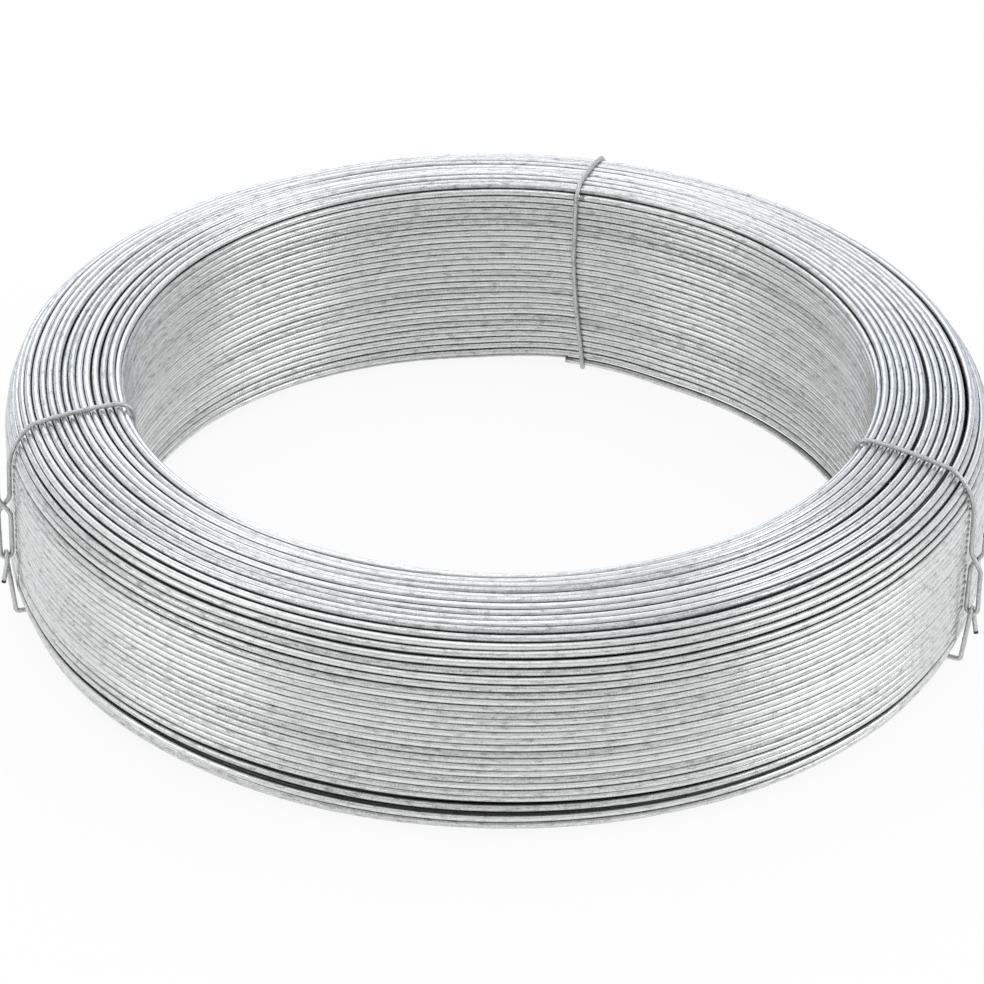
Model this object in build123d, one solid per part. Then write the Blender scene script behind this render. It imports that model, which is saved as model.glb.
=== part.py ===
"""Coil of drawn, galvanised steel wire, lying flat and held by three wire ties.

The wire is wound in close turns round an open eye. The section that the turns fill is tall and
narrow: a wall round the eye that leans in a little, a small inner rim, a crown that is nearly
flat, a sloping shoulder, an upright outer wall with a well rounded foot, and a flat underside.
The turns are one long wire, so the coil is one turned solid. Its turns show as ridges on both
ends, one ridge to a turn.

Each tie is a single wire bent tightly round the section. Its two ends meet low on the outer wall:
the upper end is bent into a long eye and crosses over itself, and the lower end hooks through the
eye. Over each tie the lowest turns lift a little, so that the coil still lies flat.

Millimetres, +Z up. The origin is the centre of the eye of the coil, on the floor.
"""

from build123d import *
import os
from math import atan2, cos, pi, sin

# The wire, and the section that its turns fill
wire_d = 2.8
turn_gap = 0.03
bore_d = 300.0
bore_lean = 3.5
coil_height = 88.5
build_up = 43.5
crown_drop = 4.5
crown_rise = 0.8
inner_rim_r = 5.5
shoulder_h = 17.0
shoulder_w = 9.0
shoulder_rise = 2.2
wall_bulge = 0.4
outer_foot_r = 12.0
inner_foot_r = 4.5
seat_land_w = 7.0
ridge_depth = 1.0

# Flat facets that stand for a plain rounded stretch of the section
rim_chords = 2
shoulder_chords = 3
wall_chords = 2
foot_chords = 5

# The ties, each named with its direction from +X
tie_angles = {"tie_back": 78.0, "tie_left": 195.7, "tie_right": 338.5}
tie_d = 2.2
tie_sides = 8
tie_clearance = 0.25
floor_clearance = 0.1
arch_w = 100.0

# The knot of a tie: the eye of its upper end and the hook of its lower end
knot_z = 47.0
eye_length = 18.0
knot_slack = 0.25
crossing_h = 7.0
eye_tail_h = 9.0
hook_tail_h = 10.0
tail_splay = 2.0
turn_corners = 4

turn_pitch = wire_d + turn_gap
bore_r = bore_d / 2
rim_r = bore_r - bore_lean
outer_r = bore_r + build_up
shoulder_z = coil_height - crown_drop
tie_r = tie_d / 2


def ridges(edge):
    """Points along an edge, from its start to its end: a crest for each turn, with valleys between.

    There are as many turns as fit the edge at the wire's own pitch.
    """
    turns = round(edge.length / turn_pitch)
    points = [edge @ 0]
    for half_turn in range(1, 2 * turns):
        at = half_turn / (2 * turns)
        along = edge % at
        depth = 0 if half_turn % 2 else ridge_depth
        points.append(edge @ at + Vector(along.Y, -along.X) * depth)
    return points + [edge @ 1]


def chords(edge, number):
    """Points of the equal chords that stand for an arc."""
    return [edge @ (point / number) for point in range(number + 1)]


def coil_section():
    """Half section of the coil, with X as the radius and Y as the height, drawn clockwise.

    The end of the coil begins half way round the inner rim, and its ridges with it.
    """
    rim_foot = Vector(rim_r, coil_height - inner_rim_r)
    rim_middle = rim_foot + Vector(1 - cos(pi / 4), sin(pi / 4)) * inner_rim_r
    rim_top = Vector(rim_r + inner_rim_r, coil_height)
    crown_end = (outer_r - shoulder_w, shoulder_z)
    wall_top = (outer_r, shoulder_z - shoulder_h)
    wall_foot = (outer_r, outer_foot_r)
    seat_out = Vector(outer_r - outer_foot_r, 0)
    seat_in = Vector(bore_r + inner_foot_r, 0)
    land = Vector(seat_land_w, 0)
    bore_wall = Line((bore_r, inner_foot_r), rim_foot)
    outline = [
        Polyline(*chords(RadiusArc(rim_foot, rim_middle, inner_rim_r), rim_chords)),
        Polyline(*ridges(RadiusArc(rim_middle, rim_top, inner_rim_r))),
        Polyline(*ridges(SagittaArc(rim_top, crown_end, crown_rise))),
        Polyline(*chords(SagittaArc(crown_end, wall_top, shoulder_rise), shoulder_chords)),
        Polyline(*chords(SagittaArc(wall_top, wall_foot, wall_bulge), wall_chords)),
        Polyline(*chords(RadiusArc(wall_foot, seat_out, outer_foot_r), foot_chords)),
        Line(seat_out, seat_out - land),
        Polyline(*ridges(Line(seat_out - land, seat_in + land))),
        Line(seat_in + land, seat_in),
        Line(seat_in, bore_wall @ 0),
        bore_wall,
    ]
    return make_face(outline)


def arch_over_tie():
    """The room that the lowest turns leave over a tie, along +X: a long, low segment of a circle."""
    rise = tie_d + tie_clearance + floor_clearance
    foot = Line((-arch_w / 2, 0), (arch_w / 2, 0))
    room = make_face([foot, SagittaArc(foot @ 1, foot @ 0, -rise)])
    return Pos(rim_r - wire_d, 0, 0) * extrude(Plane.YZ * room, outer_r - rim_r + 2 * wire_d)


def wire_coil():
    """The turns as one solid, with room under them for the ties."""
    coil = revolve(Plane.XZ * coil_section(), Axis.Z)
    arch = arch_over_tie()
    for angle in tie_angles.values():
        coil -= Rot(0, 0, angle) * arch
    return coil


def meet(first, second):
    """Point where two lines of the radial plane meet, each given by a point on it and its normal."""
    (x1, z1, a1), (x2, z2, a2) = first, second
    d1 = x1 * cos(a1) + z1 * sin(a1)
    d2 = x2 * cos(a2) + z2 * sin(a2)
    det = cos(a1) * sin(a2) - sin(a1) * cos(a2)
    return ((d1 * sin(a2) - d2 * sin(a1)) / det, (d2 * cos(a1) - d1 * cos(a2)) / det)


def round_section():
    """Corners of the tie's line where it is pulled tight round the section, as (radius, height).

    The line has a straight run against each face of the section in turn, from the outer wall above
    the knot, over the crown and down the wall of the bore, to the underside.
    """
    off = tie_clearance + tie_r
    wall_h = shoulder_z - shoulder_h - outer_foot_r
    crown_w = outer_r - shoulder_w - rim_r - inner_rim_r
    rim_middle = inner_rim_r * (1 - sin(pi / 4))
    bore_slope = atan2(bore_lean, coil_height - inner_rim_r - inner_foot_r)
    faces = [
        (off, atan2(wall_bulge, wall_h / 2), outer_r, shoulder_z - shoulder_h),
        (off + shoulder_rise, atan2(shoulder_w, shoulder_h), outer_r, shoulder_z - shoulder_h),
        (off + crown_rise, atan2(crown_w, crown_drop), outer_r - shoulder_w, shoulder_z),
        (off, pi / 2, rim_r + inner_rim_r, coil_height),
        (off, 3 * pi / 4, rim_r + rim_middle, coil_height - rim_middle),
        (off, pi + bore_slope, bore_r, inner_foot_r),
        (-tie_r, 3 * pi / 2, bore_r, floor_clearance),
    ]
    lines = [(x + gap * cos(a), z + gap * sin(a), a) for gap, a, x, z in faces]
    knot_line = (0, knot_z + crossing_h, pi / 2)
    return [meet(first, second) for first, second in zip([knot_line] + lines, lines)]


def turn_back(bend_r):
    """Corners of a turn of half a circle about the origin, each as (across, along)."""
    step = pi / turn_corners
    out = bend_r / cos(step / 2)
    angles = [step * (corner + 0.5) for corner in range(turn_corners)]
    return [(out * cos(angle), out * sin(angle)) for angle in angles]


def tie_line():
    """Corners of a tie's line in the radial plane along +X, from the tip of its eye to its hook.

    The eye stands in that plane, flat against the wall on its inner side. The hook comes up inside
    it at right angles to that plane, as one link of a chain hangs in another.
    """
    reach = tie_d + knot_slack
    side = reach / 2
    eye_in = outer_r + wall_bulge + tie_clearance + tie_r
    eye_out = eye_in + 2 * reach
    hook_x = eye_in + reach
    eye_foot = knot_z - eye_length
    crossing_top = knot_z + crossing_h
    (strand_x, strand_z), *corners = round_section()
    eye_tip = [
        (eye_out, side, crossing_top + eye_tail_h),
        (eye_out, side, crossing_top),
        (eye_in, side, knot_z),
    ]
    eye_turn = [(hook_x - across, 0, eye_foot - along) for across, along in turn_back(reach)]
    strand = [(eye_out, -side, knot_z), (strand_x, -side, strand_z)]
    round_coil = [(x, 0, z) for x, z in corners]
    foot = [(outer_r + tie_clearance + tie_r, 0, floor_clearance + tie_r)]
    hook_turn = [(hook_x, -across, eye_foot - reach + along) for across, along in turn_back(reach)]
    hook_tip = [(hook_x + tail_splay, reach, eye_foot - reach - hook_tail_h)]
    return Polyline(*eye_tip, *eye_turn, *strand, *round_coil, *foot, *hook_turn, *hook_tip)


def tie():
    """One tie in the radial plane along +X."""
    line = tie_line()
    section = Plane(origin=line @ 0, z_dir=line % 0) * RegularPolygon(tie_r, tie_sides)
    return sweep(section, path=line, transition=Transition.RIGHT)


os.makedirs("parts", exist_ok=True)
export_step(wire_coil(), "parts/wire_coil.step")
tie_solid = tie()
for name, angle in tie_angles.items():
    export_step(Rot(0, 0, angle) * tie_solid, f"parts/{name}.step")
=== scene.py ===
"""Looks of a flat-lying coil of galvanised steel wire: its turns, its ties, its finishes, a studio.

The turned solid of the coil is replaced by the turns themselves. They are wound as the real coil's
outermost turns are: one wire runs in a spiral up the wall of the bore, outwards over the crown, down
the outer wall and back in under the coil. A second spiral lies in the hollows beneath the first and
shows through its gaps. Metres, +Z up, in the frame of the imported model.
"""

import logging
import math
from dataclasses import dataclass
from enum import Enum

import bpy
import numpy as np
from mathutils import Matrix, Vector


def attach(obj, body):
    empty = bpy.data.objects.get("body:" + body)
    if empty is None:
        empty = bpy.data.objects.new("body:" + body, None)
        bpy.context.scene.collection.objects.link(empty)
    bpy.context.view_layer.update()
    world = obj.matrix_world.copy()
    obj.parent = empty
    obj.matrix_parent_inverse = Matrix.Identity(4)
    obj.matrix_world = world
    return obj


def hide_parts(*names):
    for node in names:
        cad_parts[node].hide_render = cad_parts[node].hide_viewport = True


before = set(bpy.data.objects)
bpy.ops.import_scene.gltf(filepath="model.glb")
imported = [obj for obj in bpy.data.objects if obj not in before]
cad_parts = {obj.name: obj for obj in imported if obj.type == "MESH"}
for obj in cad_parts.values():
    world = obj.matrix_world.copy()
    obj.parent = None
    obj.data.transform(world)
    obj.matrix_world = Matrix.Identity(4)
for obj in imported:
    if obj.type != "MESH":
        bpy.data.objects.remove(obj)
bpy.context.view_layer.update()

MM = 0.001
log = logging.getLogger("wire_coil")

# The wire and its coil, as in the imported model
WIRE_D = 2.8 * MM
BORE_R = 150.0 * MM
BORE_LEAN = 3.5 * MM
BUILD_UP = 43.5 * MM
COIL_H = 88.5 * MM
CROWN_DROP = 4.5 * MM
OUTER_R = BORE_R + BUILD_UP

# The wire of the ties, as thin as in the photograph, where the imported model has 2.2 mm
TIE_D = 1.9 * MM


def linear(hex_colour: str) -> tuple[float, float, float, float]:
    """Turn an sRGB hex colour into linear light, by the standard's own curve.

    Args:
        hex_colour: six hex digits, such as "b8bcbf".

    Returns:
        Linear red, green, blue and an alpha of one.
    """
    channels = [int(hex_colour[i : i + 2], 16) / 255 for i in (0, 2, 4)]
    bent = [c / 12.92 if c <= 0.04045 else ((c + 0.055) / 1.055) ** 2.4 for c in channels]
    return (*bent, 1.0)


def smooth_noise(at: np.ndarray, rates: tuple[float, float], seed: int, waves: int = 28) -> np.ndarray:
    """Smooth noise of unit spread: a sum of sines of random rate, phase and weight.

    Args:
        at: where to read the noise, in turns of the coil.
        rates: lowest and highest number of swings in one unit of ``at``.
        seed: seed of the random draw.
        waves: how many sines are added up.

    Returns:
        The noise, in the shape of ``at``.
    """
    draw = np.random.default_rng(seed)
    rate = draw.uniform(*rates, waves)
    phase = draw.uniform(0, 2 * np.pi, waves)
    weight = draw.uniform(0.5, 1.0, waves)
    swings = np.sin(2 * np.pi * at[..., None] * rate + phase) @ weight
    return swings / math.sqrt(0.5 * float(weight @ weight))


def distance_run(points: np.ndarray) -> np.ndarray:
    """Distance run along a line up to each of its points: the sum of the lengths between them."""
    return np.concatenate([[0], np.cumsum(np.linalg.norm(np.diff(points, axis=0), axis=1))])


def fill_mesh(
    name: str, points: np.ndarray, quads: np.ndarray, caps: list[np.ndarray], uv: np.ndarray
) -> bpy.types.Object:
    """Make a smooth-shaded object from whole arrays.

    Args:
        name: name of the object.
        points: vertices, n by 3.
        quads: four-cornered faces, m by 4, wound to face outwards.
        caps: further faces, each a row of vertex numbers.
        uv: one pair for each vertex, read by every face that meets there.

    Returns:
        The object, linked to the scene.
    """
    mesh = bpy.data.meshes.new(name)
    sizes = np.concatenate([np.full(len(quads), 4)] + [[len(cap)] for cap in caps]).astype(np.int32)
    corners = np.concatenate([quads.ravel()] + caps).astype(np.int32)
    mesh.vertices.add(len(points))
    mesh.vertices.foreach_set("co", points.astype(np.float32).ravel())
    mesh.loops.add(len(corners))
    mesh.loops.foreach_set("vertex_index", corners)
    mesh.polygons.add(len(sizes))
    mesh.polygons.foreach_set("loop_start", (np.cumsum(sizes) - sizes).astype(np.int32))
    smooth = np.ones(len(sizes), dtype=bool)
    smooth[len(quads) :] = False
    mesh.polygons.foreach_set("use_smooth", smooth)
    mesh.update(calc_edges=True)
    layer = mesh.uv_layers.new(name="run_of_wire")
    layer.uv.foreach_set("vector", uv[corners].astype(np.float32).ravel())
    mesh.validate()
    obj = bpy.data.objects.new(name, mesh)
    bpy.context.scene.collection.objects.link(obj)
    return obj


def tube(
    name: str, centre: np.ndarray, across: np.ndarray, above: np.ndarray, radius: float, sides: int
) -> bpy.types.Object:
    """Carry a circle along a line: point = centre + radius (cos a * across + sin a * above).

    Args:
        name: name of the object.
        centre: stations of the line, n by 3.
        across: first unit vector of each station's circle, n by 3.
        above: second unit vector of each station's circle, n by 3.
        radius: radius of the tube.
        sides: how many sides the tube has.

    Returns:
        A closed tube, with its length in metres as U and the way round it as V.
    """
    angle = 2 * np.pi * np.arange(sides) / sides
    cos, sin = np.cos(angle)[None, :, None], np.sin(angle)[None, :, None]
    ring = cos * across[:, None] + sin * above[:, None]
    points = (centre[:, None] + radius * ring).reshape(-1, 3)
    stations = len(centre)
    rim = np.arange(sides)
    row = np.arange(stations - 1)[:, None] * sides
    first = (row + rim[None]).ravel()
    beside = (row + (rim[None] + 1) % sides).ravel()
    ahead = np.cross(across[0], above[0]) @ (centre[1] - centre[0])
    order = (first, beside, beside + sides, first + sides)
    quads = np.stack(order if ahead > 0 else order[::-1], axis=1)
    start, end = (rim[::-1], rim) if ahead > 0 else (rim, rim[::-1])
    run = distance_run(centre)
    uv = np.stack(np.broadcast_arrays(run[:, None], rim[None] / sides), axis=-1)
    return fill_mesh(name, points, quads, [start, end + (stations - 1) * sides], uv.reshape(-1, 2))


def add_node(
    tree: bpy.types.NodeTree, kind: str, settings: dict | None = None, links: dict | None = None
) -> bpy.types.Node:
    """Add a node, set its properties and sockets, and link its inputs.

    Args:
        tree: node tree to add to.
        kind: Blender's name of the node type.
        settings: property name, or input name or number, to value. The key "stops" fills a colour
            ramp from a dict of position to sRGB hex colour, in rising order.
        links: input name or number, to the output socket that feeds it.

    Returns:
        The new node.
    """
    node = tree.nodes.new(kind)
    for key, value in (settings or {}).items():
        if key == "stops":
            elements = node.color_ramp.elements
            while len(elements) < len(value):
                elements.new(0.5)
            for element, (position, colour) in zip(elements, value.items()):
                element.position = position
                element.color = linear(colour)
        elif isinstance(key, str) and hasattr(node, key):
            setattr(node, key, value)
        else:
            node.inputs[key].default_value = value
    for key, socket in (links or {}).items():
        tree.links.new(socket, node.inputs[key])
    return node


@dataclass(frozen=True)
class GalvanisedSteel:
    """Drawn steel wire, hot-dip galvanised and wiped.

    Zinc is a neutral pale grey. Wiping leaves it satin. Its tone drifts slowly along the wire, so
    that each turn differs a little from the next, and short dull dashes and a fine grain lie on it.
    """

    name: str
    bright: str = "e9eaea"
    mid: str = "d6d7d7"
    dull: str = "9c9d9d"
    roughness: float = 0.26
    metallic: float = 0.8
    # Share of its brightness that the wire keeps on its flanks, where turns touch: painted shade of
    # the grooves between turns
    flank: float = 1.0
    # Shares of the girth, from the crest, at which the flank's shade begins and is full
    shade_start: float = 0.15
    shade_full: float = 0.24
    # Length of wire over which its tone drifts, and how much that weighs
    drift_run: float = 400 * MM
    drift_weight: float = 0.9
    # Dull dashes: length, number round the girth, and how far they lower the tone
    dash_length: float = 5 * MM
    dashes_round: float = 7.0
    dash_depth: float = 0.3
    # Grain of the wiped zinc: width, about the finest that the render shows, and weight
    grain_width: float = 0.6 * MM
    grain_weight: float = 0.6
    # Roughness added where the zinc is dull, and taken off where it is bright
    rougher: float = 0.12
    smoother: float = 0.05
    bump_height: float = 0.08 * MM
    bump_strength: float = 0.35

    def material(self) -> bpy.types.Material:
        """Build the node material of this finish.

        The tone is drift * weight + grain * weight - dashes. It sets the colour and the roughness. The
        colour is then darkened towards the flanks, as painted shade of the grooves between turns.

        Returns:
            The material.
        """
        made = bpy.data.materials.new(self.name)
        made.use_nodes = True
        tree = made.node_tree
        tree.nodes.clear()
        place = add_node(tree, "ShaderNodeTexCoord")
        # Slow drift of the tone along the wire, so that each turn has its own
        drift = add_node(
            tree,
            "ShaderNodeMapping",
            {"Scale": (1 / self.drift_run, 0.0, 0.0)},
            {"Vector": place.outputs["UV"]},
        )
        turn_tone = add_node(
            tree,
            "ShaderNodeTexNoise",
            {"Scale": 1.0, "Detail": 2.0, "Roughness": 0.5},
            {"Vector": drift.outputs["Vector"]},
        )
        # Dull dashes along the run of the wire
        stretch = add_node(
            tree,
            "ShaderNodeMapping",
            {"Scale": (1 / self.dash_length, self.dashes_round, 1.0)},
            {"Vector": place.outputs["UV"]},
        )
        dash = add_node(
            tree,
            "ShaderNodeTexNoise",
            {"Scale": 1.0, "Detail": 1.5, "Roughness": 0.5},
            {"Vector": stretch.outputs["Vector"]},
        )
        dashes = add_node(
            tree,
            "ShaderNodeMapRange",
            {"From Min": 0.5, "From Max": 0.74, "To Min": 0.0, "To Max": -self.dash_depth},
            {"Value": dash.outputs["Fac"]},
        )
        grain = add_node(
            tree,
            "ShaderNodeTexNoise",
            {"Scale": 1 / self.grain_width, "Detail": 1.0, "Roughness": 0.5},
            {"Vector": place.outputs["Object"]},
        )
        grainy = add_node(
            tree,
            "ShaderNodeMath",
            {"operation": "MULTIPLY_ADD", 1: self.grain_weight},
            {0: grain.outputs["Fac"], 2: dashes.outputs["Result"]},
        )
        tone = add_node(
            tree,
            "ShaderNodeMath",
            {"operation": "MULTIPLY_ADD", 1: self.drift_weight},
            {0: turn_tone.outputs["Fac"], 2: grainy.outputs["Value"]},
        )
        zinc = add_node(
            tree,
            "ShaderNodeValToRGB",
            {"stops": {0.36: self.dull, 0.68: self.mid, 0.86: self.bright}},
            {"Fac": tone.outputs["Value"]},
        )
        rough = add_node(
            tree,
            "ShaderNodeMapRange",
            {
                "From Min": 0.3,
                "From Max": 0.9,
                "To Min": self.roughness + self.rougher,
                "To Max": self.roughness - self.smoother,
            },
            {"Value": tone.outputs["Value"]},
        )
        bump = add_node(
            tree,
            "ShaderNodeBump",
            {"Strength": self.bump_strength, "Distance": self.bump_height},
            {"Height": grainy.outputs["Value"]},
        )
        # Way round the wire from its crest, which lies at V = 0.5, to the flanks a quarter away
        split = add_node(tree, "ShaderNodeSeparateXYZ", links={"Vector": place.outputs["UV"]})
        aside = add_node(
            tree,
            "ShaderNodeMath",
            {"operation": "SUBTRACT", 1: 0.5},
            {0: split.outputs["Y"]},
        )
        away = add_node(tree, "ShaderNodeMath", {"operation": "ABSOLUTE"}, {0: aside.outputs["Value"]})
        shade = add_node(
            tree,
            "ShaderNodeMapRange",
            {
                "From Min": self.shade_start,
                "From Max": self.shade_full,
                "To Min": 1.0,
                "To Max": self.flank,
            },
            {"Value": away.outputs["Value"]},
        )
        # Painted shade: the zinc colour is darkened towards the flanks, where the grooves between
        # turns fall in shade
        flank_shaded = add_node(
            tree,
            "ShaderNodeVectorMath",
            {"operation": "SCALE"},
            {0: zinc.outputs["Color"], "Scale": shade.outputs["Result"]},
        )
        shader = add_node(
            tree,
            "ShaderNodeBsdfPrincipled",
            {"Metallic": self.metallic},
            {
                "Base Color": flank_shaded.outputs["Vector"],
                "Roughness": rough.outputs["Result"],
                "Normal": bump.outputs["Normal"],
            },
        )
        add_node(tree, "ShaderNodeOutputMaterial", links={"Surface": shader.outputs["BSDF"]})
        return made


@dataclass(frozen=True)
class CutSteel:
    """Bare steel where a wire has been cut off: darker than its zinc, and dull."""

    name: str = "cut_end_of_wire"
    colour: str = "4a4846"
    roughness: float = 0.55
    metallic: float = 0.8

    def material(self) -> bpy.types.Material:
        """Build the node material of this finish.

        Returns:
            The material.
        """
        made = bpy.data.materials.new(self.name)
        made.use_nodes = True
        tree = made.node_tree
        tree.nodes.clear()
        shader = add_node(
            tree,
            "ShaderNodeBsdfPrincipled",
            {
                "Metallic": self.metallic,
                "Roughness": self.roughness,
                "Base Color": linear(self.colour),
            },
        )
        add_node(tree, "ShaderNodeOutputMaterial", links={"Surface": shader.outputs["BSDF"]})
        return made


class Stretch(Enum):
    """Stretches of the outermost spiral, each a piece of its own."""

    BORE_WALL = "turns_of_bore_wall"
    CROWN = "turns_of_crown"
    OUTER_WALL = "turns_of_outer_wall"
    UNDERSIDE = "turns_of_underside"


@dataclass
class Section:
    """Outline of the section that the turns fill, from the inner foot up and round to it again."""

    rim_r: float = 5.5 * MM
    crown_rise: float = 0.8 * MM
    shoulder_w: float = 9.0 * MM
    shoulder_h: float = 17.0 * MM
    shoulder_rise: float = 2.2 * MM
    wall_bulge: float = 0.4 * MM
    outer_foot_r: float = 12.0 * MM
    inner_foot_r: float = 4.5 * MM
    # The lowest turns spread a little, into the eye and outwards
    spread_in: float = 1.2 * MM
    spread_out: float = 0.9 * MM
    spread_h: float = 11.0 * MM
    # Points of each corner and bow, spacing of the evened line, and width of its moving average
    samples: int = 60
    step: float = 0.1 * MM
    soften: int = 21

    def outline(self, inset: float) -> tuple[np.ndarray, np.ndarray, np.ndarray]:
        """Lay the outline out at a depth below the surface.

        Rounded corners are circles: point = centre + r (cos a, sin a). The crown, the shoulder and
        the outer wall are parabolas on their chord: point = chord + normal * rise * 4 t (1 - t). The
        closed line is then evened out by a moving average and moved inwards along its own normal.

        Args:
            inset: depth below the surface of the coil.

        Returns:
            Distance run, radius and height of each point, in metres.
        """
        rim_x = BORE_R - BORE_LEAN + self.rim_r
        top = np.array([rim_x, COIL_H])
        crown_end = np.array([OUTER_R - self.shoulder_w, COIL_H - CROWN_DROP])
        wall_top = crown_end + (self.shoulder_w, -self.shoulder_h)
        wall_foot = np.array([OUTER_R, self.outer_foot_r])

        def corner(centre: tuple[float, float], radius: float, start: float, end: float) -> np.ndarray:
            """Points of an arc, from one angle in degrees to another."""
            angle = np.radians(np.linspace(start, end, self.samples))
            return np.array(centre) + radius * np.stack([np.cos(angle), np.sin(angle)], axis=1)

        def bow(start: np.ndarray, end: np.ndarray, rise: float) -> np.ndarray:
            """Points of a parabola on the chord from start to end."""
            along = np.linspace(0, 1, self.samples)[:, None]
            chord = end - start
            normal = np.array([-chord[1], chord[0]]) / np.hypot(*chord)
            return start + along * chord + normal * rise * 4 * along * (1 - along)

        rough = np.concatenate(
            [
                corner((BORE_R + self.inner_foot_r, self.inner_foot_r), self.inner_foot_r, 270, 180),
                corner((rim_x, COIL_H - self.rim_r), self.rim_r, 180, 90),
                bow(top, crown_end, self.crown_rise),
                bow(crown_end, wall_top, self.shoulder_rise)[1:-1],
                bow(wall_top, wall_foot, self.wall_bulge),
                corner((OUTER_R - self.outer_foot_r, self.outer_foot_r), self.outer_foot_r, 0, -90),
            ]
        )
        closed = np.concatenate([rough, rough[:1]])
        run = distance_run(closed)
        even = np.arange(0, run[-1], self.step)
        line = np.stack([np.interp(even, run, closed[:, i]) for i in (0, 1)], axis=1)
        window = np.ones(self.soften) / self.soften
        wrapped = np.concatenate([line[-self.soften :], line, line[: self.soften]])
        line = np.stack([np.convolve(wrapped[:, i], window, "same") for i in (0, 1)], axis=1)
        line = line[self.soften : -self.soften]
        along = np.roll(line, -1, axis=0) - np.roll(line, 1, axis=0)
        along /= np.hypot(*along.T)[:, None]
        line = line + inset * np.stack([along[:, 1], -along[:, 0]], axis=1)
        closed = np.concatenate([line, line[:1]])
        run = distance_run(closed)
        return run, closed[:, 0], closed[:, 1]

    def spread(self, r: np.ndarray, z: np.ndarray) -> np.ndarray:
        """Radius once the lowest turns have spread: shift * exp(-(z / h)^2) is added."""
        shift = np.where(r < BORE_R + BUILD_UP / 2, -self.spread_in, self.spread_out)
        return r + shift * np.exp(-((z / self.spread_h) ** 2))


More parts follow.
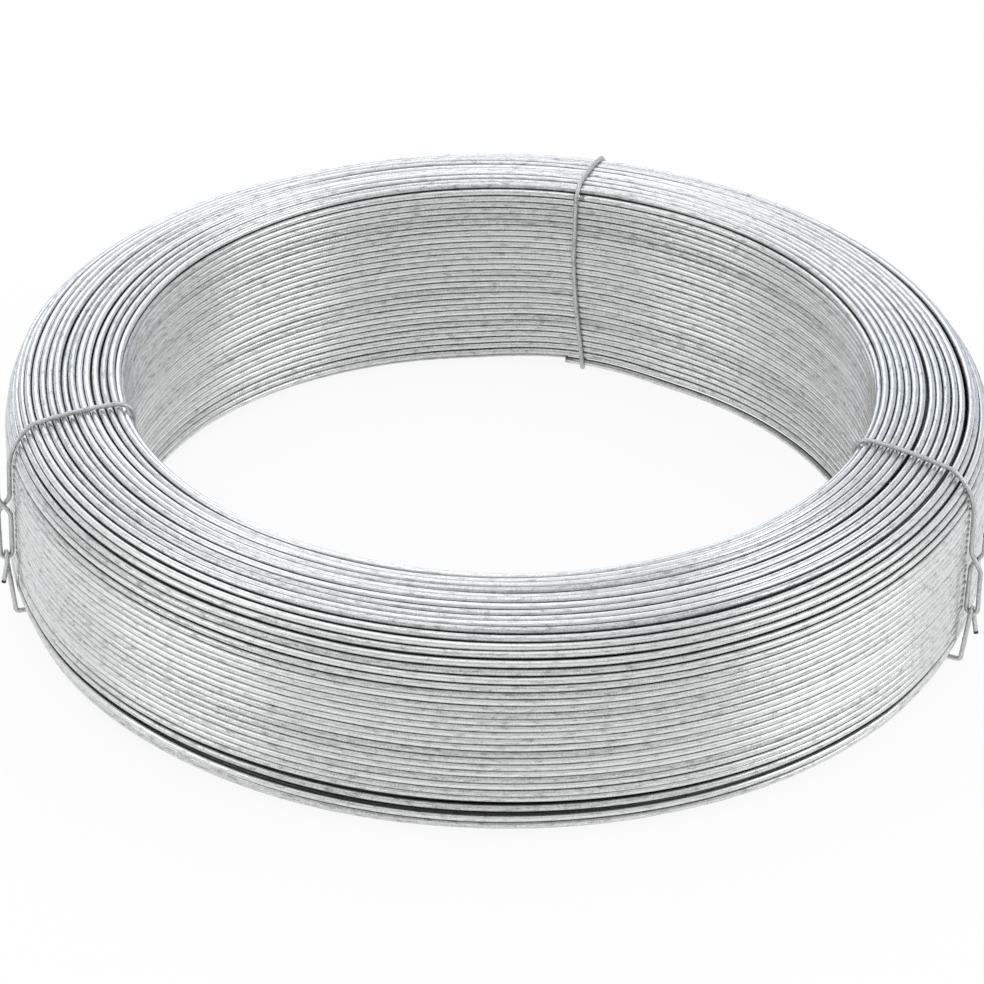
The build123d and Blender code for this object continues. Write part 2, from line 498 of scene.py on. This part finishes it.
@dataclass
class Tie:
    """One wire tie round the section, with an eye and a hook low on the outer wall.

    Its line is worked out in the radial plane of its angle, as outwards, sideways and up.
    """

    name: str
    angle: float
    section: Section
    # Sideways drift in millimetres, at shares of the run from the knot to the foot of the bore
    lean: tuple[tuple[float, float], ...] = ((0.0, 0.0), (1.0, 0.0))
    seed: int = 1
    clearance: float = 0.25 * MM
    floor_gap: float = 0.1 * MM
    knot_z: float = 47.0 * MM
    eye_length: float = 18.0 * MM
    knot_slack: float = 0.4 * MM
    crossing_h: float = 7.0 * MM
    eye_tail_h: float = 9.0 * MM
    hook_tail_h: float = 10.0 * MM
    tail_splay: float = 2.0 * MM
    cut_length: float = 1.2 * MM
    # How far the tie strays sideways, and how often in its run round the section
    wobble: float = 0.15 * MM
    wobble_rates: tuple[float, float] = (1.0, 5.0)
    # Points of each half turn of the knot, spacing of the evened line, and width of its moving average
    turn_samples: int = 16
    step: float = 0.4 * MM
    soften: int = 7
    sides: int = 16

    def round_section(self) -> np.ndarray:
        """Lay out the tie where it is pulled tight: the outline, moved out and kept off the floor.

        It keeps clear of the evened outline, but the turns lie unevenly, so some reach into it.

        Returns:
            Points of the line from above the knot over the crown to the foot, n by 3.
        """
        off = self.clearance + TIE_D / 2
        _, r, z = self.section.outline(-off)
        bottom = self.floor_gap + TIE_D / 2
        highest = int(np.argmax(z))
        ahead = np.arange(len(z)) > highest
        start = int(np.argmax(ahead & (z < self.knot_z + self.crossing_h)))
        first = int(np.argmax(z > bottom))
        span = slice(start, first, -1)
        share = np.linspace(0, 1, start - first)
        sideways = np.interp(share, *np.array(self.lean).T) * MM
        sideways += self.wobble * smooth_noise(share, self.wobble_rates, self.seed)
        spread = self.section.spread(r, z)
        return np.stack([spread[span], sideways, np.maximum(z[span], bottom)], axis=1)

    def line(self) -> np.ndarray:
        """Lay the whole tie out, from the tip of its eye round the section to the tip of its hook.

        The two turns of the knot are half circles of one wire and a little slack in radius. The eye
        stands in the radial plane and the hook across it, as two links of a chain. The line is then
        spaced evenly and softened by a moving average, so that every bend is round.

        Returns:
            Points of the line, n by 3.
        """
        reach = TIE_D + self.knot_slack
        side = reach / 2
        eye_in = OUTER_R + self.section.wall_bulge + self.clearance + TIE_D / 2
        hook_x = eye_in + reach
        eye_out = hook_x + reach
        eye_foot = self.knot_z - self.eye_length
        crossing = self.knot_z + self.crossing_h
        half_turn = np.linspace(0, np.pi, self.turn_samples)
        swing, sink = reach * np.cos(half_turn), reach * np.sin(half_turn)
        flat = np.zeros_like(swing)
        eye_tip = [
            (eye_out, side, crossing + self.eye_tail_h),
            (eye_out, side, crossing),
            (eye_in, side, self.knot_z),
        ]
        pieces = [
            eye_tip,
            np.stack([hook_x - swing, flat, eye_foot - sink], axis=1),
            [(eye_out, -side, self.knot_z)],
            self.round_section(),
            [(OUTER_R + self.clearance + TIE_D / 2, 0.0, self.floor_gap + TIE_D / 2)],
            np.stack([flat + hook_x, -swing, eye_foot - reach + sink], axis=1),
            [(hook_x + self.tail_splay, reach, eye_foot - reach - self.hook_tail_h)],
        ]
        rough = np.concatenate([np.asarray(piece, dtype=float) for piece in pieces])
        run = distance_run(rough)
        even = np.linspace(0, run[-1], int(run[-1] / self.step))
        line = np.stack([np.interp(even, run, rough[:, axis]) for axis in range(3)], axis=1)
        half = self.soften // 2
        before = 2 * line[0] - line[half:0:-1]
        after = 2 * line[-1] - line[-2 : -2 - half : -1]
        padded = np.concatenate([before, line, after])
        window = np.ones(self.soften) / self.soften
        return np.stack([np.convolve(padded[:, axis], window, "valid") for axis in range(3)], axis=1)

    def build(self, finish: bpy.types.Material, cut: bpy.types.Material) -> bpy.types.Object:
        """Make the tie as a round tube, dress it and give its tips their cut ends.

        Args:
            finish: material of the wire.
            cut: material of its two cut tips.

        Returns:
            The tie.
        """
        turn = math.radians(self.angle)
        cos, sin = math.cos(turn), math.sin(turn)
        spin = np.array([[cos, -sin, 0], [sin, cos, 0], [0, 0, 1]])
        line = self.line()
        along = np.gradient(line, axis=0)
        along /= np.linalg.norm(along, axis=1)[:, None]
        # Half way between outwards and sideways, a direction that the line doesn't take
        slanting = [math.sqrt(0.5), math.sqrt(0.5), 0.0]
        across = np.cross(slanting, along)
        across /= np.linalg.norm(across, axis=1)[:, None]
        above = np.cross(along, across)
        turned = [vectors @ spin.T for vectors in (line, across, above)]
        piece = tube(f"{self.name}_wire", *turned, TIE_D / 2, self.sides)
        piece.data.materials.append(finish)
        piece.data.materials.append(cut)
        rings = len(line) - 1
        bare = round(self.cut_length / self.step)
        ring = np.concatenate([np.repeat(np.arange(rings), self.sides), [0, rings]])
        tipped = ((ring < bare) | (ring >= rings - bare)).astype(np.int32)
        piece.data.polygons.foreach_set("material_index", tipped)
        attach(piece, "root")
        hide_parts(self.name)
        return piece


@dataclass
class Winding:
    """The outermost turns as one spiral wire, and the turns in the hollows beneath them."""

    section: Section
    ties: list[Tie]
    # Degrees from +X at which the wire starts, and its stations in a turn, sides and seed
    start_angle: float = 77.5
    samples: int = 224
    sides: int = 10
    seed: int = 11
    # Stations, sides and seed of the turns beneath, which show only through gaps
    inner_samples: int = 128
    inner_sides: int = 8
    inner_seed: int = 61
    # Shares of the turns after which the crown, the outer wall and the underside begin
    stretch_starts: tuple[float, ...] = (0.36, 0.53, 0.78)
    # Places along the outline, as shares of the turns, for which the next four rows hold
    gap_places: tuple[float, ...] = (
        *(0.0, 0.05, 0.35, 0.40, 0.50, 0.54),
        *(0.58, 0.61, 0.77, 0.80, 0.90, 1.0),
    )
    # Mean gap between turns, in millimetres
    gap_means: tuple[float, ...] = (
        *(0.12, 0.03, 0.03, 0.16, 0.20, 0.22),
        *(0.20, 0.03, 0.04, 0.42, 0.36, 0.12),
    )
    # Spread of the gap's logarithm
    gap_spreads: tuple[float, ...] = (0.6, 0.5, 0.5, 1.1, 1.2, 1.3, 1.3, 0.5, 0.6, 1.2, 1.1, 0.6)
    # Widest gap before it is scaled to fit, in millimetres
    gap_widest: tuple[float, ...] = (0.6, 0.4, 0.4, 0.8, 0.8, 0.8, 0.8, 0.4, 0.4, 1.7, 1.4, 0.5)
    # How unevenly the turns lie in depth, in millimetres
    depth_spreads: tuple[float, ...] = (
        *(0.1, 0.04, 0.05, 0.30, 0.38, 0.38),
        *(0.28, 0.05, 0.06, 0.40, 0.30, 0.10),
    )
    # Slowest and quickest swings of gaps and depth, in one turn of the coil
    gap_rates: tuple[float, float] = (0.15, 1.5)
    depth_rates: tuple[float, float] = (0.2, 2.6)
    # Small waves of the wire: how far it strays in radius and height, and how often in a turn
    wave_r: float = 0.06 * MM
    wave_z: float = 0.05 * MM
    wave_rates: tuple[float, float] = (3.0, 14.0)
    # Rise of the lowest turns over a tie: half its width, its height, and how fast it fades upwards
    lift_half_w: float = 50.0 * MM
    lift_h: float = 2.5 * MM
    lift_fade: float = 1.5
    # The loose first turn: its start along the outline, and how far it lies into the eye and down
    start_place: float = 2.2 * MM
    loose_out: float = 1.4 * MM
    loose_down: float = 0.8 * MM
    # Shares of a turn for which it lies fully loose, and over which it then eases back
    loose_share: float = 0.2
    ease_share: float = 0.4
    # The shoulder stands fuller at the left: direction and half width in degrees, depth, and reach
    full_angle: float = 158.0
    full_half_w: float = 42.0
    full_depth: float = 2.2 * MM
    full_reach: float = 18 * MM

    def spiral(
        self, inset: float, samples: int, seed: int
    ) -> tuple[np.ndarray, np.ndarray, np.ndarray, np.ndarray]:
        """Wind one layer of turns round the section.

        A turn k at the angle i lies at s[k, i] along the outline, where s[k + 1, i] = s[k, i] + wire
        + gap[k, i]. A gap is mean * exp(spread * (noise - spread / 2)), cut off at the widest, with
        smooth noise along the wire, so that most are hair lines and a few stand open. The gaps are
        scaled at each angle so that the last turn stops about one wire short of the first. Depth
        and waves come on top, so neighbours overlap in places, in the outer layer by 0.3 mm at most.

        Args:
            inset: depth of the wire's centre below the surface.
            samples: stations in one turn.
            seed: seed of the noise.

        Returns:
            Angle, radius and height of each station, and the angle in the radial plane at which the
            inside of the coil lies from there, one row to a turn.
        """
        run, radius, height = self.section.outline(inset)
        length = run[-1]
        fine = np.linspace(0, 1, 400)
        pitch = WIRE_D + float(np.interp(fine, self.gap_places, self.gap_means).mean()) * MM
        turns = int(length / pitch) - 1
        nominal = (np.arange(turns) + 0.5) / turns
        mean = np.interp(nominal, self.gap_places, self.gap_means) * MM
        spread = np.interp(nominal, self.gap_places, self.gap_spreads)
        tau = np.arange(turns)[:, None] + np.arange(samples)[None] / samples
        noise = smooth_noise(tau, self.gap_rates, seed)
        widest = np.interp(nominal, self.gap_places, self.gap_widest) * MM
        gap = mean[:, None] * np.exp(spread[:, None] * (noise - spread[:, None] / 2))
        gap = np.minimum(gap, widest[:, None])
        room = length - (turns + 1) * WIRE_D
        share = room / gap.sum(axis=0)
        # Ease the scale along the turn, so that its end meets the start of the next
        share += (share[0] - share[-1]) * np.arange(samples) / samples
        gap *= share
        first = (WIRE_D + gap[0, 0]) * np.arange(samples) / samples
        steps = np.concatenate([np.zeros((1, samples)), np.cumsum(WIRE_D + gap, axis=0)[:-1]])
        place = self.start_place + first + steps
        angle = math.radians(self.start_angle) - 2 * np.pi * tau
        flat = place.ravel()
        r, z, along_r, along_z = (
            np.interp(flat, run, values, period=length).reshape(place.shape)
            for values in (radius, height, np.gradient(radius, run), np.gradient(height, run))
        )
        depth = np.interp(nominal, self.gap_places, self.depth_spreads) * MM
        proud = depth[:, None] * smooth_noise(tau, self.depth_rates, seed + 3)
        proud = proud + self.fuller_shoulder(angle, r, z)
        r = r - along_z * proud
        z = z + along_r * proud
        r = self.section.spread(r, z)
        r = r + self.wave_r * smooth_noise(tau, self.wave_rates, seed + 1)
        z = z + self.wave_z * smooth_noise(tau, self.wave_rates, seed + 2)
        z = np.maximum(z, WIRE_D / 2)
        inwards = np.arctan2(-along_r, along_z)
        return angle, r, z + self.lift(angle, z), inwards

    def fuller_shoulder(self, angle: np.ndarray, r: np.ndarray, z: np.ndarray) -> np.ndarray:
        """Work out how far the shoulder stands out at the left: depth * cos^2 * exp(-(d / reach)^2).

        The cosine runs over the angle from the fullest place, and d is the distance in the section
        from the corner that the crown and the outer wall would make.

        Args:
            angle: angle of each station.
            r: its radius.
            z: its height.

        Returns:
            Distance that each station moves out.
        """
        turned = np.angle(np.exp(1j * (angle - math.radians(self.full_angle))))
        away = turned / math.radians(self.full_half_w)
        around = np.where(np.abs(away) < 1, np.cos(np.pi / 2 * np.clip(away, -1, 1)) ** 2, 0.0)
        from_corner = np.hypot(r - OUTER_R, z - (COIL_H - CROWN_DROP))
        return self.full_depth * around * np.exp(-((from_corner / self.full_reach) ** 2))

    def loosen(self, r: np.ndarray, z: np.ndarray) -> tuple[np.ndarray, np.ndarray]:
        """Let the first turn stray into the eye and down, then ease back as cos^2.

        Args:
            r: radius of each station, one row to a turn.
            z: height of each station.

        Returns:
            Both, with the first row moved.
        """
        along = np.arange(r.shape[1]) / r.shape[1]
        eased = np.clip((along - self.loose_share) / self.ease_share, 0, 1)
        stray = np.cos(np.pi / 2 * eased) ** 2
        r, z = r.copy(), z.copy()
        r[0] -= self.loose_out * stray
        z[0] = np.maximum(z[0] - self.loose_down * stray, WIRE_D / 2)
        return r, z

    def lift(self, angle: np.ndarray, height: np.ndarray) -> np.ndarray:
        """Work out how far the turns rise over the ties: h (1 - (x / half)^2)^2 (1 - z / height)^fade.

        Args:
            angle: angle of each station.
            height: its height.

        Returns:
            Rise of each station.
        """
        rise = np.zeros_like(angle)
        for tie in self.ties:
            away = np.angle(np.exp(1j * (angle - math.radians(tie.angle)))) * BORE_R
            rise += np.clip(1 - (away / self.lift_half_w) ** 2, 0, 1) ** 2
        return self.lift_h * rise * (1 - height / COIL_H) ** self.lift_fade

    def build(
        self, finish: bpy.types.Material, shaded: bpy.types.Material, cut: bpy.types.Material
    ) -> list[bpy.types.Object]:
        """Build the pieces of both layers and dress them.

        Args:
            finish: material of the outermost turns.
            shaded: material of the turns beneath them, a darker copy of the wire's finish as painted
                shade.
            cut: material of the cut faces at both ends of the wire.

        Returns:
            The pieces.
        """
        angle, r, z, inwards = self.spiral(WIRE_D / 2, self.samples, self.seed)
        r, z = self.loosen(r, z)
        # The wire starts one station early, so that its two ends leave no notch
        angle[0, 0] += 2 * np.pi / self.samples
        turns = len(angle)
        cuts = [0, *(round(turns * share) for share in self.stretch_starts), turns]
        pieces = [
            self.run_of_turns(stretch.value, angle, r, z, inwards, start, end, self.sides)
            for stretch, start, end in zip(Stretch, cuts, cuts[1:])
        ]
        # The last two faces of a tube are its caps, at its start and at its end
        ends = [(pieces[0], -2), (pieces[-1], -1)]
        # A wire that lies in the hollow between two others is sin 60 of a wire deeper
        hollow = WIRE_D * math.sin(math.pi / 3)
        below = self.spiral(WIRE_D / 2 + hollow, self.inner_samples, self.inner_seed)
        half = len(below[0]) // 2
        for name, start, end in (
            ("inner_turns_of_bore", 0, half),
            ("inner_turns_of_outer_wall", half, len(below[0])),
        ):
            pieces.append(self.run_of_turns(name, *below, start, end, self.inner_sides))
        for piece in pieces:
            beneath = piece.name.startswith("inner")
            piece.data.materials.append(shaded if beneath else finish)
            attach(piece, "root")
            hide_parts("wire_coil")
        for piece, cap in ends:
            piece.data.materials.append(cut)
            piece.data.polygons[cap].material_index = 1
        return pieces

    def run_of_turns(
        self,
        name: str,
        angle: np.ndarray,
        r: np.ndarray,
        z: np.ndarray,
        inwards: np.ndarray,
        start: int,
        end: int,
        sides: int,
    ) -> bpy.types.Object:
        """Make one tube of the turns from ``start`` up to ``end``, and on to the next one's start.

        The way round the tube starts on the hidden side, so V is a half along the wire's crest.

        Args:
            name: name of the piece.
            angle: angle of each station, one row to a turn.
            r: its radius.
            z: its height.
            inwards: angle in the radial plane at which the inside of the coil lies from it.
            start: first turn.
            end: turn after the last.
            sides: how many sides the wire has.

        Returns:
            The piece.
        """
        samples = angle.shape[1]
        span = slice(start * samples, min(end * samples + 1, angle.size))
        a, r, z, turn = (values.ravel()[span] for values in (angle, r, z, inwards))
        out = np.stack([np.cos(a), np.sin(a), np.zeros_like(a)], axis=1)
        up = np.broadcast_to([0.0, 0.0, 1.0], out.shape)
        centre = r[:, None] * out + z[:, None] * up
        cos, sin = np.cos(turn)[:, None], np.sin(turn)[:, None]
        return tube(name, centre, cos * out + sin * up, cos * up - sin * out, WIRE_D / 2, sides)


@dataclass
class Studio:
    """Camera, lamps, floor and surroundings."""

    aim: tuple[float, float, float] = (0.0, 0.0, 29.1 * MM)
    distance: float = 1627.6 * MM
    elevation: float = 32.2
    roll: float = 1.30
    focal_px: float = 4075.0
    frame_px: float = 984.0
    centre_px: tuple[float, float] = (497.3, 489.4)
    sensor: float = 36.0
    floor_reach: float = 6.0
    # Share of white that the floor shows to the camera and in reflections, over its own shading
    floor_glow: float = 0.9

    def camera(self) -> None:
        """Place the camera at the photograph's viewpoint."""
        data = bpy.data.cameras.new("camera")
        data.sensor_width = self.sensor
        data.lens = self.sensor * self.focal_px / self.frame_px
        data.shift_x = (self.frame_px / 2 - self.centre_px[0]) / self.frame_px
        data.shift_y = (self.centre_px[1] - self.frame_px / 2) / self.frame_px
        rise = math.radians(self.elevation)
        back = Vector((0, -math.cos(rise), math.sin(rise)))
        camera = bpy.data.objects.new("camera", data)
        turn = Matrix.Rotation(math.radians(self.roll), 4, "Z")
        pose = (-back).to_track_quat("-Z", "Y").to_matrix().to_4x4() @ turn
        camera.matrix_world = Matrix.Translation(Vector(self.aim) + back * self.distance) @ pose
        bpy.context.scene.collection.objects.link(camera)
        bpy.context.scene.camera = camera

    def lamp(self, name: str, place: tuple[float, float, float], size: float, power: float) -> None:
        """Hang a square softbox that faces the coil.

        Args:
            name: name of the lamp.
            place: where it hangs.
            size: length of its side.
            power: watts.
        """
        data = bpy.data.lights.new(name, "AREA")
        data.size = size
        data.energy = power
        lamp = bpy.data.objects.new(name, data)
        aim = Vector(self.aim) - Vector(place)
        turn = aim.to_track_quat("-Z", "Y").to_matrix().to_4x4()
        lamp.matrix_world = Matrix.Translation(Vector(place)) @ turn
        bpy.context.scene.collection.objects.link(lamp)

    def surroundings(self) -> None:
        """Light the world as a plain pale studio, with a dim band that passes behind the camera.

        The camera itself sees plain white.
        """
        world = bpy.data.worlds.new("studio")
        bpy.context.scene.world = world
        world.use_nodes = True
        tree = world.node_tree
        tree.nodes.clear()
        place = add_node(tree, "ShaderNodeTexCoord")
        axes = add_node(tree, "ShaderNodeSeparateXYZ", links={"Vector": place.outputs["Generated"]})
        aside = add_node(tree, "ShaderNodeMath", {"operation": "ABSOLUTE"}, {0: axes.outputs["X"]})
        # How far up, behind or aside a direction lies: 0.5 y + 0.85 z + 0.4 |x|, 0.03 at the camera
        behind = add_node(
            tree,
            "ShaderNodeMath",
            {"operation": "MULTIPLY", 1: 0.5},
            {0: axes.outputs["Y"]},
        )
        over = add_node(
            tree,
            "ShaderNodeMath",
            {"operation": "MULTIPLY_ADD", 1: 0.85},
            {0: axes.outputs["Z"], 2: behind.outputs["Value"]},
        )
        around = add_node(
            tree,
            "ShaderNodeMath",
            {"operation": "MULTIPLY_ADD", 1: 0.4},
            {0: aside.outputs["Value"], 2: over.outputs["Value"]},
        )
        sky = add_node(
            tree,
            "ShaderNodeValToRGB",
            {"stops": {0.0: "e8e8e8", 0.02: "909090", 0.13: "909090", 0.23: "e8e8e9", 0.8: "f0f0f1"}},
            {"Fac": around.outputs["Value"]},
        )
        # A little blue in the light from straight behind, as from a window
        tint = add_node(
            tree,
            "ShaderNodeValToRGB",
            {"stops": {0.62: "ffffff", 0.84: "d6e2f2"}},
            {"Fac": axes.outputs["Y"]},
        )
        tinted = add_node(
            tree,
            "ShaderNodeVectorMath",
            {"operation": "MULTIPLY"},
            {0: sky.outputs["Color"], 1: tint.outputs["Color"]},
        )
        path = add_node(tree, "ShaderNodeLightPath")
        plain = add_node(tree, "ShaderNodeBackground", {"Color": linear("ffffff"), "Strength": 1.0})
        light = add_node(
            tree,
            "ShaderNodeBackground",
            {"Strength": 1.0},
            {"Color": tinted.outputs["Vector"]},
        )
        mix = add_node(
            tree,
            "ShaderNodeMixShader",
            links={0: path.outputs["Is Camera Ray"], 1: light.outputs[0], 2: plain.outputs[0]},
        )
        add_node(tree, "ShaderNodeOutputWorld", links={"Surface": mix.outputs[0]})

    def floor(self) -> bpy.types.Object:
        """Lay a wide pale floor that shows near white and keeps the coil's shadow.

        Returns:
            The floor.
        """
        mesh = bpy.data.meshes.new("studio_floor")
        reach = self.floor_reach
        corners = [(-reach, -reach, 0), (reach, -reach, 0), (reach, reach, 0), (-reach, reach, 0)]
        mesh.from_pydata(corners, [], [(0, 1, 2, 3)])
        floor = bpy.data.objects.new("studio_floor", mesh)
        bpy.context.scene.collection.objects.link(floor)
        made = bpy.data.materials.new("pale_floor")
        made.use_nodes = True
        tree = made.node_tree
        tree.nodes.clear()
        path = add_node(tree, "ShaderNodeLightPath")
        paper = add_node(tree, "ShaderNodeBsdfDiffuse", {"Color": linear("f4f4f4")})
        glow = add_node(tree, "ShaderNodeEmission", {"Color": linear("ffffff"), "Strength": 1.0})
        seen = add_node(
            tree,
            "ShaderNodeMath",
            {"operation": "MAXIMUM"},
            {0: path.outputs["Is Camera Ray"], 1: path.outputs["Is Glossy Ray"]},
        )
        share = add_node(
            tree,
            "ShaderNodeMath",
            {"operation": "MULTIPLY", 1: self.floor_glow},
            {0: seen.outputs[0]},
        )
        mix = add_node(
            tree,
            "ShaderNodeMixShader",
            links={0: share.outputs[0], 1: paper.outputs[0], 2: glow.outputs[0]},
        )
        add_node(tree, "ShaderNodeOutputMaterial", links={"Surface": mix.outputs[0]})
        mesh.materials.append(made)
        return floor

    def build(self) -> None:
        """Set the whole studio up."""
        self.camera()
        self.surroundings()
        self.floor()
        self.lamp("key", place=(-0.3, 0.0, 1.7), size=1.3, power=3.0)
        self.lamp("left", place=(-1.4, -0.6, 0.7), size=1.0, power=3.0)
        self.lamp("fill", place=(1.5, -0.3, 0.9), size=1.0, power=6.0)
        self.lamp("back", place=(-0.3, 1.5, 1.0), size=1.2, power=5.0)
        bpy.context.scene.view_settings.view_transform = "Standard"


def main() -> None:
    """Build the studio and every piece, in order."""
    logging.basicConfig(level=logging.INFO, format="%(name)s: %(message)s")
    Studio().build()
    section = Section()
    wire = GalvanisedSteel("galvanised_wire", flank=0.5).material()
    tie_wire = GalvanisedSteel(
        "galvanised_tie_wire", bright="d8dad9", mid="c2c4c3", dull="9a9c9b", roughness=0.4
    ).material()
    # The turns beneath have the same zinc, darkened here as painted shade of the hollows they lie in
    shaded = GalvanisedSteel(
        "galvanised_wire_painted_shade", bright="7c7c7c", mid="686868", dull="4c4c4c", roughness=0.55
    ).material()
    cut = CutSteel().material()
    back_lean = ((0.0, -5.5), (0.46, -0.2), (0.52, 0.3), (0.66, 0.0), (0.79, -0.8), (1.0, -5.0))
    ties = [
        Tie("tie_back", 78.0, section, lean=back_lean, seed=1),
        Tie("tie_left", 195.7, section, seed=2),
        Tie("tie_right", 338.5, section, seed=3, knot_z=43.5 * MM),
    ]
    for piece in Winding(section, ties).build(wire, shaded, cut):
        log.info("%s: %d faces", piece.name, len(piece.data.polygons))
    for tie in ties:
        piece = tie.build(tie_wire, cut)
        log.info("%s: %d faces", piece.name, len(piece.data.polygons))


if __name__ == "__main__":
    main()
